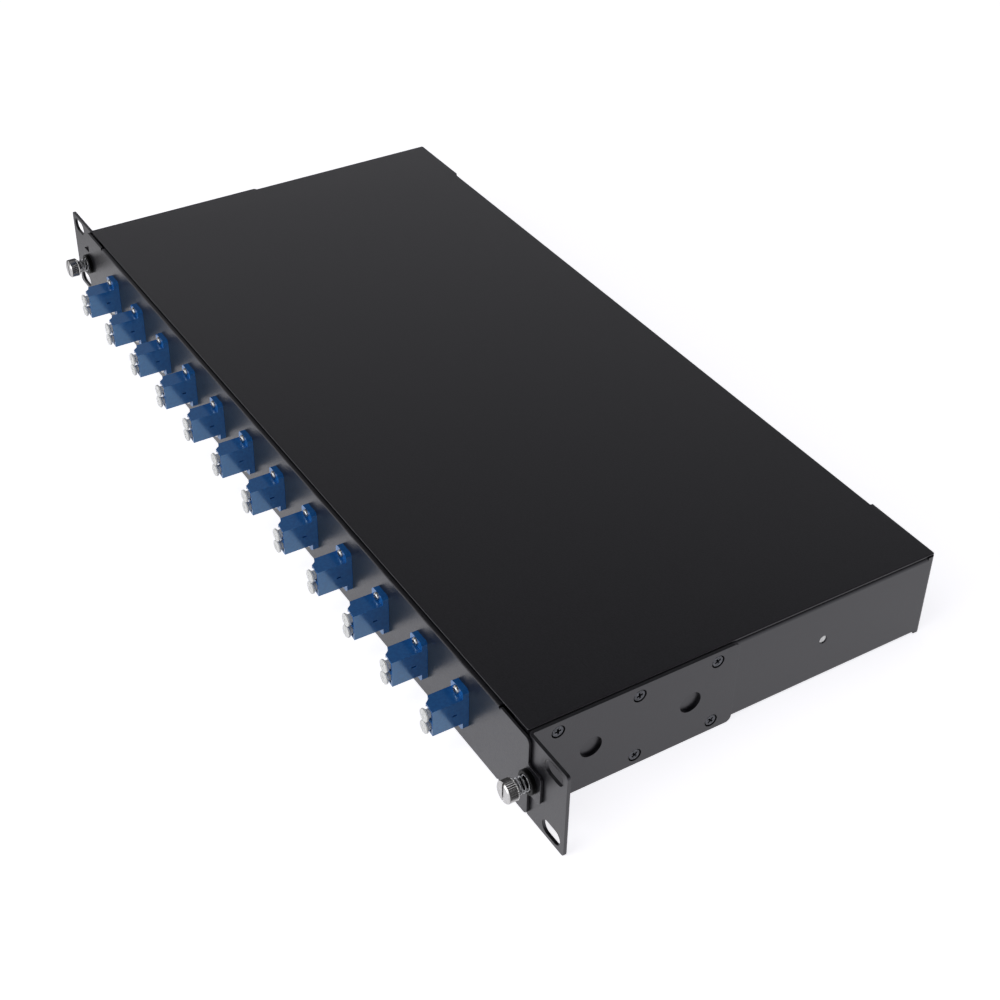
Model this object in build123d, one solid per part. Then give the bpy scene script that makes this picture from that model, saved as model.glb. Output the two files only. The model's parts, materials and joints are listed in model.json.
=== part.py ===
from build123d import *
import math
import os

# Sliding fibre patch panel for a 19 inch rack, one rack unit high, in millimetres.
# +X is to the right seen from the front, +Y points to the rear and +Z points up.
# The origin is the middle of the four rack slots, in the rear face of the rack ears.

# How many sides the small round shapes get
fine_sides = 12
plain_sides = 8
small_sides = 6

# How far a cutter runs past the faces it cuts
over = 1.0

# Rack interface: with the enclosure between them, the ears reach the 482.6 mm of a 19 inch rack
ear_width = 26.8
slot_edge = 8.75
slot_spacing_z = 31.75
slot_width = 6.8
slot_length = 12.0

# Rack brackets, each bent from one sheet: an ear in front and a leg along the enclosure
bracket_sheet = 1.5
bracket_height = 42.4
bracket_reach = 96.4
bracket_corner = 1.5
leg_corner = 2.5
bracket_bend = 2.0
leg_hole = 10.0
leg_hole_first_y = 26.9
leg_hole_rear_margin = 22.4

# Countersunk screws that hold a bracket to the enclosure
screw_columns = 3
screw_first_y = 11.3
screw_rear_margin = 10.5
screw_edge = 5.2
csk_head = 5.8
csk_shank = 3.0
csk_length = 5.0
csk_room = 0.05

# Enclosure: floor, walls and rear wall folded from one sheet, with a flat cover
flange_below_bracket = 0.5
enclosure_width = 429.0
enclosure_height = bracket_height - flange_below_bracket
enclosure_depth = 200.0
wall = 1.2
wall_bend = 1.8
top_flange = 10.0
rear_flange = 39.5
rear_wall_drop = 1.0
cover_sheet = 1.0
cover_inset = 0.6
front_step = 0.7

# Cable entries in the rear wall, each with a rubber grommet
entry_hole = 20.5
entry_side_gap = 64.5
entry_height = 19.2
grommet_lip = 2.2
grommet_face = 1.8
grommet_bore = 13.0

# Rivets
rivet_shank = 3.2
rivet_head = 5.6
rivet_head_height = 1.0
rivet_room = 0.1
rear_rivet_edge = 20.5
rear_rivet_spacing = 22.0
runner_rivet_first = 50.4
runner_rivet_pitch = 92.5
runner_rivet_count = 2
rivet_countersink = 4.4
rivet_recess = 0.3

# Runners: a channel on the enclosure wall and a hat section on the tray
runner_sheet = 1.0
runner_bend = 1.4
runner_screw_gap = 3.0
runner_depth = 7.7
runner_stand_off = 1.0
runner_return = 4.3
runner_gap = 0.4
runner_lift_gap = 0.3
runner_edge_gap = 0.5
runner_start = 4.0
runner_rear_gap = 6.0
inner_runner_short = 2.0

# Drawer front
panel_sheet = 1.2
panel_bend = 1.6
panel_gap = 0.2
panel_overhang = 0.8
panel_floor_gap = 0.4
panel_cover_gap = 0.3
panel_return = 9.0
panel_return_end = 8.0
foot_depth = 12.0
tab_margin = 7.2
tab_corner = 0.9
panel_corner = 1.4

# Tray
tray_wall = 1.2
tray_bend = 1.6
tray_wall_height = 30.0
tray_rear_gap = 10.0
tray_lip = 9.0
foot_rivet_count = 5
foot_rivet_end = 16.5
foot_rivet_y = 5.0
bridge_count = 4
bridge_pitch = 80.0
bridge_length = 14.0
bridge_width = 5.0
bridge_rise = 2.6
bridge_from_end = 14.0

# Duplex adapters, mounted upright, with their latch side to the left
adapter_count = 12
adapter_side_room = 13.6
adapter_shift = -5.4
adapter_front = 13.6
adapter_rear = 12.3
flange_thick = 2.7
flange_ear = 3.9
flange_corner = 1.2
cutout_room = 0.1
latch_step = 1.9
latch_slope = 3.45
latch_set_back = 3.1
latch_step_back = 2.4
nose_back = 0.35
port_pitch = 6.25
port_size = 4.8
port_wall = 0.875
port_side_wall = 1.0
latch_channel = 3.2
latch_channel_depth = 2.6
latch_channel_wall = 0.9
divider = 1.6

# Ceramic alignment sleeves
sleeve_diameter = 2.5
sleeve_bore = 1.25
sleeve_length = 11.4

# Adapter screws
adapter_screw_offset = 2.0
adapter_screw_head = 3.7
adapter_screw_head_height = 1.2
adapter_screw_shank = 1.9
adapter_screw_length = 5.4
adapter_screw_room = 0.15

# Dust caps
cap_room = 0.25
cap_end_gap = 0.6
cap_neck = 2.4
cap_disc_gap = 0.35
cap_disc_thick = 1.2

# Captive thumbscrews, each with a collar, a spring and a nut in the rack ear
thumb_offset = 3.2
head_diameter = 9.5
head_length = 5.0
knurl_count = 24
knurl_depth = 0.35
head_slot_width = 1.0
head_slot_depth = 1.3
left_slot_turn = 12.0
thread_diameter = 4.0
thread_length = 3.2
thread_room = 0.1
neck_diameter = 3.0
neck_room = 0.2
lip_thick = 1.0
thumb_stand = 4.9
thumb_travel = 2.8
captive_gap = 0.2
collar_height = 2.0
collar_wall = 1.45
collar_spigot_wall = 1.1
tab_round_collar = 2.0
spring_wire = 0.8
spring_inner_room = 0.7
spring_room = 0.25
pocket_depth = 1.6
spring_seat_gap = 0.2
spring_head_gap = 0.1
nut_wall = 1.0
nut_wall_in_ear = 0.8
nut_lead_room = 0.3

# Splice holders on the tray
splice_count = 12
splice_pitch = 4.2
splice_rib = 1.4
splice_length = 36.0
splice_base = 1.6
splice_depth = 6.0
splice_x = 62.0
splice_y = 108.0

# Fibre guides on the tray
guide_length = 10.0
guide_width = 22.0
guide_height = 14.0
guide_wall = 1.5
guide_mouth = 2.0
guide_side_gap = 55.6
guide_side_y = 100.0
guide_rear_gap = 30.0

# Planes and faces that the sizes above settle
half_width = enclosure_width / 2
inner_half = half_width - wall
rack_width = enclosure_width + 2 * ear_width
slot_spacing_x = rack_width - 2 * slot_edge
entry_x = half_width - entry_side_gap
floor_z = -bracket_height / 2
top_z = floor_z + enclosure_height
bracket_face = half_width + bracket_sheet
screw_row_z = bracket_height / 2 - screw_edge
screw_last_y = bracket_reach - screw_rear_margin
panel_rear = -bracket_sheet - panel_gap
panel_front = panel_rear - panel_sheet
panel_half = bracket_face + panel_overhang
panel_bottom = floor_z + wall + panel_floor_gap
panel_top = top_z - panel_cover_gap
panel_z = (panel_bottom + panel_top) / 2
return_half = half_width - top_flange - panel_return_end
foot_rivet_pitch = 2 * (return_half - foot_rivet_end) / (foot_rivet_count - 1)
front_y = panel_rear + front_step
rear_y = enclosure_depth
runner_half = screw_row_z - runner_screw_gap
runner_end = rear_y - runner_rear_gap
tray_half = inner_half - runner_depth
tray_end = rear_y - tray_rear_gap
tray_bottom = panel_bottom + panel_sheet
tray_floor = tray_bottom + tray_wall
guide_side_x = tray_half - guide_side_gap
guide_rear_y = tray_end - guide_rear_gap
adapter_pitch = 2 * (tray_half - adapter_side_room) / adapter_count
adapter_width = latch_channel_wall + latch_channel_depth + port_size + port_side_wall
adapter_height = port_pitch + port_size + 2 * port_wall
adapter_screw_z = adapter_height / 2 + adapter_screw_offset
port_offset = adapter_width / 2 - port_side_wall - port_size / 2
flange_front = panel_front - flange_thick
nose_y = flange_front - adapter_front
tail_y = panel_front + adapter_rear
divider_y = (nose_y + tail_y) / 2
thumb_x = bracket_face + thumb_offset
collar_front = panel_front - collar_height
head_rear = collar_front - thumb_stand
head_front = head_rear - head_length
pocket_floor = collar_front + pocket_depth
lip_rear = pocket_floor + lip_thick
thread_start = lip_rear + thumb_travel + captive_gap
thread_end = thread_start + thread_length
spring_outer = thread_diameter / 2 + spring_inner_room + spring_wire
collar_outer = spring_outer + spring_room + collar_wall
spigot_outer = thread_diameter / 2 + thread_room + collar_spigot_wall


def block(x0, x1, y0, y1, z0, z1):
    """A box between two corners."""
    return Pos((x0 + x1) / 2, (y0 + y1) / 2, (z0 + z1) / 2) * Box(x1 - x0, y1 - y0, z1 - z0)


def bar(axis, radius, start, end, place, sides, cutter=False):
    """A many-sided bar along X, Y or Z, inside its round form, or outside it where it cuts a hole."""
    first, second = place
    origin = {"x": (start, first, second), "y": (first, start, second), "z": (first, second, start)}[axis]
    direction = {"x": (1, 0, 0), "y": (0, 1, 0), "z": (0, 0, 1)}[axis]
    outline = RegularPolygon(radius, sides, major_radius=not cutter)
    return extrude(Plane(origin, z_dir=direction) * outline, end - start)


def hole(axis, radius, start, end, place, sides):
    """A cutter for a many-sided hole that its round form fits inside."""
    return bar(axis, radius, start, end, place, sides, cutter=True)


def countersink(side, radius, depth, place, surface_x, cutter=False):
    """A many-sided cone that narrows at 45 degrees into a wall on the left or right."""
    y, z = place
    reach = radius / math.cos(math.pi / plain_sides) if cutter else radius
    rings = []
    for inset in (0, depth):
        outline = RegularPolygon(reach * (1 - inset / radius), plain_sides)
        rings.append((Plane((side * (surface_x - inset), y, z), z_dir=(-side, 0, 0)) * outline).face())
    corners = [[Vector(vertex.X, vertex.Y, vertex.Z) for vertex in ring.vertices()] for ring in rings]
    mouth, floor = (sorted(ring, key=lambda point: math.atan2(point.Z - z, point.Y - y)) for ring in corners)
    walls = [make_face(Polyline(mouth[n - 1], mouth[n], floor[n], floor[n - 1], close=True)).face()
             for n in range(plain_sides)]
    return Solid(Shell(rings + walls))


def folded(points, sheet, bend, rounded=True):
    """The section of a folded sheet, from the line of its outer face, with the sheet to the right of it."""
    section = make_face(offset(Polyline(*points), amount=sheet, side=Side.RIGHT, kind=Kind.INTERSECTION))
    bends = [Vector(x, y, 0) for x, y in points[1:-1]]
    corners = [vertex for vertex in section.vertices()
               if min((Vector(vertex.X, vertex.Y, 0) - place).length for place in bends) < sheet / 2]
    return fillet(corners, bend) if rounded else chamfer(corners, bend / 2)


def along_x(section, x0, x1):
    """A section drawn in Y and Z, run from one side to the other."""
    return Pos(x0, 0, 0) * extrude(Plane.YZ * section, x1 - x0)


def along_y(section, y0, y1):
    """A section drawn in X and Z, run from front to rear."""
    return Pos(0, y1, 0) * extrude(Plane.XZ * section, y1 - y0)


def along_z(section, z0, z1):
    """A section drawn in X and Y, run upwards."""
    return Pos(0, 0, z0) * extrude(section, z1 - z0)


def mirrored(shape):
    """The left-hand copy of a right-hand part."""
    return mirror(shape, about=Plane.YZ)


def both_sides(shape):
    """A right-hand part with its left-hand copy."""
    return Compound(list(shape.solids()) + list(mirrored(shape).solids()))


def spread(count, pitch):
    """Places at one pitch, centred on zero."""
    return [(index - (count - 1) / 2) * pitch for index in range(count)]


def adapter_places():
    """The middle of each adapter across the panel."""
    return [adapter_shift + x for x in spread(adapter_count, adapter_pitch)]


def port_places():
    """The axis of each port of an adapter, from the middle of that adapter."""
    return [(port_offset, panel_z + z) for z in spread(2, port_pitch)]


def adapter_screw_rows():
    """The heights of the two screws of an adapter."""
    return (panel_z - adapter_screw_z, panel_z + adapter_screw_z)


def bracket_screw_places():
    """Where the countersunk screws stand along a bracket."""
    pitch = (screw_last_y - screw_first_y) / (screw_columns - 1)
    columns = [screw_first_y + n * pitch for n in range(screw_columns)]
    return [(y, z) for y in columns for z in (-screw_row_z, screw_row_z)]


def leg_hole_places():
    """Where the two round holes stand along a bracket."""
    return (leg_hole_first_y, bracket_reach - leg_hole_rear_margin)


def runner_rivet_places():
    """Where the runner rivets stand along the enclosure."""
    return [runner_rivet_first + n * runner_rivet_pitch for n in range(runner_rivet_count)]


def rear_rivet_places():
    """Where the rivets stand in the rear wall."""
    x = half_width - rear_rivet_edge
    middle = (floor_z + top_z) / 2
    return [(side * x, middle + z) for side in (-1, 1) for z in spread(2, rear_rivet_spacing)]


def chassis():
    """Floor, side walls and rear wall, with flanges that carry the cover."""
    inward = half_width - top_flange
    section = folded(((inward, top_z), (half_width, top_z), (half_width, floor_z), (-half_width, floor_z),
                      (-half_width, top_z), (-inward, top_z)), wall, wall_bend)
    rear_face = rear_y - wall
    corner_y = rear_y - 2 * wall_bend
    shell = along_y(section, front_y, corner_y)
    rear_wall = folded(((rear_face, top_z - rear_wall_drop), (rear_face, floor_z), (corner_y, floor_z)),
                       wall, wall_bend, rounded=False)
    shell += along_x(rear_wall, -inner_half, inner_half)
    flange = folded(((half_width - rear_flange, rear_y), (half_width, rear_y), (half_width, corner_y)),
                    wall, wall_bend)
    flange = along_z(flange, floor_z, top_z)
    shell += flange + mirrored(flange)
    for side in (-1, 1):
        entry = (side * entry_x, floor_z + entry_height)
        shell -= hole("y", entry_hole / 2, rear_face - 2 * wall, rear_y, entry, fine_sides)
        low, high = sorted((side * (inner_half - wall), side * (half_width + wall)))
        for y in runner_rivet_places():
            shell -= hole("x", rivet_shank / 2 + rivet_room, low, high, (y, 0), small_sides)
            shell -= rivet_mouth(side, y)
        for place in bracket_screw_places():
            shell -= hole("x", csk_shank / 2 + csk_room, low, high, place, small_sides)
    for place in rear_rivet_places():
        shell -= hole("y", rivet_shank / 2 + rivet_room, rear_face - 2 * wall, rear_y + over, place, small_sides)
    return shell


def rivet_mouth(side, y):
    """The countersink in the enclosure wall over the end of a runner rivet."""
    return countersink(side, rivet_countersink / 2, wall / 2, (y, 0), half_width)


def top_cover():
    """A flat sheet on the flanges, cut back along the middle of its rear edge."""
    half = half_width - cover_inset
    sheet = block(-half, half, front_y, rear_y, top_z, top_z + cover_sheet)
    middle = half_width - rear_flange
    sheet -= block(-middle, middle, rear_y - wall, rear_y + over, top_z - over, top_z + cover_sheet + over)
    return sheet


def rear_rivets():
    """Rivets that join the side flanges to the rear wall."""
    group = []
    for x, z in rear_rivet_places():
        shank = bar("y", rivet_shank / 2, rear_y - 2 * wall, rear_y, (x, z), small_sides)
        group.append(shank + bar("y", rivet_head / 2, rear_y, rear_y + rivet_head_height, (x, z), plain_sides))
    return Compound(group)


def grommets():
    """Rubber rings, grooved to sit in the rear wall."""
    middle_y = rear_y - wall - wall / 2
    seat = entry_hole / 2
    face = wall / 2 + grommet_face
    group = []
    for side in (-1, 1):
        place = (side * entry_x, floor_z + entry_height)
        ring = bar("y", seat, middle_y - face, middle_y + face, place, fine_sides)
        for y0, y1 in ((middle_y - face, middle_y - wall / 2), (middle_y + wall / 2, middle_y + face)):
            ring += bar("y", seat + grommet_lip, y0, y1, place, fine_sides)
        bore = Pos(place[0], middle_y, place[1]) * Rot(90, 0, 0) * Cylinder(grommet_bore / 2, 3 * face)
        group.append(ring - bore)
    return Compound(group)


def rack_bracket():
    """The right-hand bracket: ear with two slots, bend, and leg with countersunk holes."""
    half_height = bracket_height / 2
    section = folded(((rack_width / 2, -bracket_sheet), (half_width, -bracket_sheet),
                      (half_width, bracket_reach)), bracket_sheet, bracket_bend)
    bracket = along_z(section, -half_height, half_height)
    bracket = fillet(bracket.edges().filter_by(Axis.Y).sort_by(Axis.X)[-2:], bracket_corner)
    bracket = chamfer(bracket.edges().filter_by(Axis.X).sort_by(Axis.Y)[-2:], leg_corner)
    for z in (-slot_spacing_z / 2, slot_spacing_z / 2):
        middle = Pos(slot_spacing_x / 2, 0, z) * Rot(90, 0, 0)
        bracket -= middle * extrude(SlotOverall(slot_length, slot_width), 2 * bracket_sheet, both=True)
    nut_hole = thread_diameter / 2 + nut_lead_room + nut_wall_in_ear
    bracket -= hole("y", nut_hole, -bracket_sheet - over, over, (thumb_x, panel_z), plain_sides)
    for y in leg_hole_places():
        bracket -= hole("x", leg_hole / 2, half_width - over, bracket_face + over, (y, 0), fine_sides)
    head_depth = (csk_head - csk_shank) / 2
    for place in bracket_screw_places():
        bracket -= countersink(1, csk_head / 2 + csk_room, head_depth, place, bracket_face, cutter=True)
        bracket -= hole("x", csk_shank / 2 + csk_room, half_width - over, bracket_face, place, plain_sides)
    return bracket


def bracket_screws():
    """Countersunk screws, on both sides."""
    head_depth = (csk_head - csk_shank) / 2
    group = []
    for place in bracket_screw_places():
        head = countersink(1, csk_head / 2, head_depth, place, bracket_face)
        shank = bar("x", csk_shank / 2, bracket_face - csk_length, bracket_face - head_depth, place, small_sides)
        group.append(head + shank)
    return both_sides(Compound(group))


def runner_outer():
    """The right-hand channel on the enclosure wall, with its lips turned back."""
    lip_x = tray_half + runner_stand_off
    mouth_z = runner_half - runner_return
    section = folded(((lip_x, mouth_z), (lip_x, runner_half), (inner_half, runner_half),
                      (inner_half, -runner_half), (lip_x, -runner_half), (lip_x, -mouth_z)),
                     runner_sheet, runner_bend, rounded=False)
    rail = along_y(section, runner_start, runner_end)
    for y in runner_rivet_places():
        rail -= hole("x", rivet_shank / 2 + rivet_room, inner_half - 2 * runner_sheet, half_width, (y, 0),
                     small_sides)
    return rail


def runner_inner():
    """The right-hand hat section that rides in the channel and carries the tray."""
    seat_z = runner_half - runner_return - runner_edge_gap
    flank_x = tray_half + runner_stand_off + runner_sheet + runner_gap
    edge_z = runner_half - runner_sheet - runner_lift_gap
    tip_x = inner_half - runner_sheet - runner_gap
    section = folded(((tip_x, -edge_z), (flank_x, -edge_z), (flank_x, -seat_z), (tray_half, -seat_z),
                      (tray_half, seat_z), (flank_x, seat_z), (flank_x, edge_z), (tip_x, edge_z)),
                     runner_sheet, runner_bend, rounded=False)
    hat = along_y(section, runner_start, tray_end - inner_runner_short)
    for y in runner_rivet_places():
        hat -= hole("x", rivet_shank / 2 + rivet_room, tray_half - over, tray_half + 2 * runner_sheet, (y, 0),
                    small_sides)
    return hat


def runner_outer_rivets():
    """Bright rivets that hold the channels, their tails spread in the enclosure walls."""
    web = inner_half - runner_sheet
    tail = half_width - rivet_recess
    spread_depth = wall / 2 - rivet_recess
    radius = rivet_shank / 2
    group = []
    for y in runner_rivet_places():
        rivet = bar("x", radius, web, tail, (y, 0), small_sides)
        rivet += bar("x", rivet_head / 2, web - rivet_head_height, web, (y, 0), plain_sides)
        group.append(rivet + countersink(1, radius + spread_depth, spread_depth, (y, 0), tail))
    return both_sides(Compound(group))


def runner_inner_rivets():
    """Rivets that hold the hat sections to the tray walls."""
    inside = tray_half - tray_wall
    group = []
    for y in runner_rivet_places():
        rivet = bar("x", rivet_shank / 2, inside, tray_half + runner_sheet, (y, 0), small_sides)
        group.append(rivet + bar("x", rivet_head / 2, inside - rivet_head_height, inside, (y, 0), plain_sides))
    return both_sides(Compound(group))


def fascia():
    """The drawer front: plate with end tabs, returned edges and adapter cut-outs."""
    section = folded(((panel_front + foot_depth, panel_bottom), (panel_front, panel_bottom),
                      (panel_front, panel_top), (panel_front + panel_return, panel_top)), panel_sheet, panel_bend)
    plate = along_x(section, -return_half, return_half)
    end = block(return_half, panel_half, panel_front, panel_rear, panel_bottom, panel_top)
    end = chamfer(end.edges().filter_by(Axis.Y).sort_by(Axis.X)[-2:], panel_corner)
    plate += end + mirrored(end)
    tab_half = collar_outer + tab_round_collar
    tab = block(-thumb_x - tab_margin, thumb_x + tab_margin, panel_front, panel_rear,
                panel_z - tab_half, panel_z + tab_half)
    plate += chamfer(tab.edges().filter_by(Axis.Y), tab_corner)
    half_cut = adapter_width / 2 + cutout_room
    tall_cut = adapter_height / 2 + cutout_room
    cut_front, cut_rear = panel_front - over, panel_rear + over
    for x in adapter_places():
        plate -= block(x - half_cut, x + half_cut, cut_front, cut_rear, panel_z - tall_cut, panel_z + tall_cut)
        for z in adapter_screw_rows():
            plate -= hole("y", adapter_screw_shank / 2 + adapter_screw_room, cut_front, cut_rear, (x, z),
                          small_sides)
    for side in (-1, 1):
        plate -= hole("y", spigot_outer, cut_front, cut_rear, (side * thumb_x, panel_z), plain_sides)
    for x in spread(foot_rivet_count, foot_rivet_pitch):
        plate -= hole("z", rivet_shank / 2 + rivet_room, panel_bottom - over, tray_bottom + over,
                      (x, foot_rivet_y), small_sides)
    return plate


def fascia_rivets():
    """Rivets from the tray floor down into the foot of the drawer front."""
    group = []
    for x in spread(foot_rivet_count, foot_rivet_pitch):
        place = (x, foot_rivet_y)
        rivet = bar("z", rivet_shank / 2, panel_bottom, tray_floor, place, small_sides)
        head_top = tray_floor + rivet_head_height
        group.append(rivet + bar("z", rivet_head / 2, tray_floor, head_top, place, plain_sides))
    return Compound(group)


def tray():
    """The drawer tray: floor, side walls, a low rear lip and lanced cable bridges."""
    top = tray_bottom + tray_wall_height
    section = folded(((tray_half, top), (tray_half, tray_bottom), (-tray_half, tray_bottom), (-tray_half, top)),
                     tray_wall, tray_bend, rounded=False)
    body = along_y(section, panel_rear, tray_end)
    inside = tray_half - tray_wall
    body += block(-inside, inside, tray_end - tray_wall, tray_end, tray_bottom, tray_floor + tray_lip)
    for side in (-1, 1):
        low, high = sorted((side * (inside - over), side * (tray_half + over)))
        for y in runner_rivet_places():
            body -= hole("x", rivet_shank / 2 + rivet_room, low, high, (y, 0), small_sides)
    for x in spread(foot_rivet_count, foot_rivet_pitch):
        body -= hole("z", rivet_shank / 2 + rivet_room, tray_bottom - over, tray_floor + over, (x, foot_rivet_y),
                     small_sides)
    y0 = tray_end - bridge_from_end - bridge_width / 2
    y1 = tray_end - bridge_from_end + bridge_width / 2
    for x in spread(bridge_count, bridge_pitch):
        x0, x1 = x - bridge_length / 2, x + bridge_length / 2
        body -= block(x0, x1, y0, y1, tray_bottom - over, tray_floor + over)
        strap = block(x0 - tray_wall, x1 + tray_wall, y0, y1, tray_bottom, tray_floor + bridge_rise)
        body += strap - block(x0, x1, y0, y1, tray_bottom, tray_floor + bridge_rise - tray_wall)
    return body


def adapter_half(mouth_y, inwards, joint_y):
    """Half a housing without its ports, from one mouth to the joint; its latch side is set back."""
    half = adapter_width / 2
    mouth = [(-half, latch_set_back), (latch_step - half, latch_step_back), (latch_slope - half, nose_back),
             (half, 0)]
    outline = [(x, mouth_y + inwards * inset) for x, inset in mouth] + [(half, joint_y), (-half, joint_y)]
    section = make_face(Polyline(*outline[::inwards], close=True))
    return along_z(section, panel_z - adapter_height / 2, panel_z + adapter_height / 2)


def port_cavity(y0, y1):
    """What is cut out for both ports: a square room for the plug, and a channel for its latch."""
    channel_x = latch_channel_wall - adapter_width / 2
    rooms = []
    for x, z in port_places():
        square = block(x - port_size / 2, x + port_size / 2, y0, y1, z - port_size / 2, z + port_size / 2)
        rooms.append(square + block(channel_x, x, y0, y1, z - latch_channel / 2, z + latch_channel / 2))
    return rooms


def adapter():
    """One duplex adapter, joined from two halves: the front one carries the screw flange."""
    front = adapter_half(nose_y, 1, panel_front)
    flange = Pos(0, flange_front + flange_thick / 2, panel_z) * Box(adapter_width, flange_thick,
                                                                     adapter_height + 2 * flange_ear)
    front += chamfer(flange.edges().filter_by(Axis.Y), flange_corner)
    rear = adapter_half(tail_y, -1, panel_front)
    for room in port_cavity(nose_y - over, divider_y - divider / 2):
        front -= room
    for room in port_cavity(divider_y + divider / 2, tail_y + over):
        front -= room
        rear -= room
    seat = sleeve_diameter / 2
    for x, z in port_places():
        front -= block(x - seat, x + seat, divider_y - divider, divider_y + divider, z - seat, z + seat)
    for z in adapter_screw_rows():
        front -= hole("y", adapter_screw_shank / 2 + adapter_screw_room, flange_front - over, panel_front + over,
                      (0, z), small_sides)
    return Compound(list(front.solids()) + list(rear.solids()))


def alignment_sleeves():
    """The ceramic sleeve in each port, which lines up two ferrules."""
    y0, y1 = divider_y - sleeve_length / 2, divider_y + sleeve_length / 2
    group = []
    for middle in adapter_places():
        for x, z in port_places():
            sleeve = bar("y", sleeve_diameter / 2, y0, y1, (middle + x, z), small_sides)
            group.append(sleeve - hole("y", sleeve_bore / 2, y0 - over, y1 + over, (middle + x, z), small_sides))
    return Compound(group)


def adapter_screws():
    """The screws at the top and bottom of each adapter flange."""
    group = []
    for x in adapter_places():
        for z in adapter_screw_rows():
            screw = bar("y", adapter_screw_shank / 2, flange_front, flange_front + adapter_screw_length, (x, z),
                        small_sides)
            head = bar("y", adapter_screw_head / 2, flange_front - adapter_screw_head_height, flange_front, (x, z),
                       small_sides)
            group.append(screw + head)
    return Compound(group)


def dust_caps(middle):
    """The two dust caps of one adapter: a square plug and a round disc to pull."""
    half = port_size / 2 - cap_room
    disc_back = nose_y - cap_neck
    plug_end = divider_y - sleeve_length / 2 - cap_end_gap
    disc = RegularPolygon((port_pitch - cap_disc_gap) / 2, plain_sides)
    group = []
    for x, z in port_places():
        cap = block(middle + x - half, middle + x + half, disc_back, plug_end, z - half, z + half)
        cap += extrude(Plane((middle + x, disc_back, z), z_dir=(0, -1, 0)) * disc, cap_disc_thick)
        group.append(cap)
    return Compound(group)


def knurled_outline():
    """The outline of a thumbscrew head: a circle with a groove for each knurl."""
    points = []
    for step in range(2 * knurl_count):
        radius = head_diameter / 2 - (knurl_depth if step % 2 else 0)
        angle = math.pi * step / knurl_count
        points.append((radius * math.cos(angle), radius * math.sin(angle)))
    return make_face(Polyline(*points, close=True))


def thumbscrew(side, slot_turn):
    """A captive thumbscrew: knurled and slotted head, thin neck, and thread at the end."""
    x = side * thumb_x
    head = extrude(Plane((x, head_rear, panel_z), z_dir=(0, -1, 0)) * knurled_outline(), head_length)
    slot = Box(head_slot_width, 2 * head_slot_depth, 2 * head_diameter)
    head -= Pos(x, head_front, panel_z) * Rot(0, slot_turn, 0) * slot
    neck = bar("y", neck_diameter / 2, head_rear, thread_start, (x, panel_z), plain_sides)
    thread = Pos(x, thread_start + thread_length / 2, panel_z) * Rot(90, 0, 0) * Cylinder(thread_diameter / 2,
                                                                                           thread_length)
    return head + neck + thread


def thumbscrew_spring(side):
    """The spring between head and collar, as a plain sleeve of its outer and inner size."""
    y0 = head_rear + spring_head_gap
    y1 = pocket_floor - spring_seat_gap
    place = (side * thumb_x, panel_z)
    spring = bar("y", spring_outer, y0, y1, place, fine_sides)
    return spring - hole("y", spring_outer - spring_wire, y0 - over, y1 + over, place, fine_sides)


def thumbscrew_collars():
    """Black collars, pressed into the end tabs; their inner lip keeps the thumbscrews captive."""
    place = (thumb_x, panel_z)
    collar = bar("y", collar_outer, collar_front, panel_front, place, fine_sides)
    collar += bar("y", spigot_outer, panel_front, panel_rear, place, plain_sides)
    collar -= hole("y", spring_outer + spring_room, collar_front - over, pocket_floor, place, fine_sides)
    collar -= hole("y", neck_diameter / 2 + neck_room, collar_front, panel_rear + over, place, plain_sides)
    collar -= hole("y", thread_diameter / 2 + thread_room, lip_rear, panel_rear + over, place, plain_sides)
    return both_sides(collar)


def ear_nuts():
    """Nuts pressed into the rack ears from behind, with a plain lead-in before the thread."""
    bore = thread_diameter / 2 + thread_room
    lead = thread_diameter / 2 + nut_lead_room
    place = (thumb_x, panel_z)
    nut = bar("y", lead + nut_wall_in_ear, -bracket_sheet, 0, place, plain_sides)
    nut += bar("y", bore + nut_wall, 0, thread_end, place, plain_sides)
    nut -= hole("y", bore, -bracket_sheet - over, thread_end + over, place, plain_sides)
    nut -= hole("y", lead, -bracket_sheet - over, thread_end - thumb_travel, place, plain_sides)
    return both_sides(nut)


def splice_holder():
    """A comb that holds the splice sleeves side by side."""
    half_length = splice_length / 2
    half_comb = (splice_count * splice_pitch + splice_rib) / 2
    comb = block(-half_comb, half_comb, -half_length, half_length, 0, splice_base)
    for x in spread(splice_count + 1, splice_pitch):
        comb += block(x - splice_rib / 2, x + splice_rib / 2, -half_length, half_length, 0,
                      splice_base + splice_depth)
    return Pos(splice_x, splice_y, tray_floor) * comb


def fibre_guides():
    """Open plastic rings, stuck to the tray, that keep the fibres in their loops."""
    half = guide_width / 2
    outer = Pos(0, guide_height / 2) * Rectangle(guide_width, guide_height)
    inner = Pos(0, guide_height / 2) * Rectangle(guide_width - 2 * guide_wall, guide_height - 2 * guide_wall)
    mouth = Pos(0, guide_height) * Rectangle(guide_mouth, guide_height)
    ring = Pos(0, 0, tray_floor) * along_y(outer - inner - mouth, -guide_length / 2, guide_length / 2)
    places = ((-guide_side_x, guide_side_y), (0, guide_rear_y), (guide_side_x, guide_side_y))
    return Compound([Pos(x, y, 0) * ring for x, y in places])


def write(name, shape):
    """Writes one node and says how many solids it holds and their volume."""
    export_step(shape, os.path.join("parts", name + ".step"))
    print(name, len(shape.solids()), round(sum(solid.volume for solid in shape.solids()), 1))


os.makedirs("parts", exist_ok=True)

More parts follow.
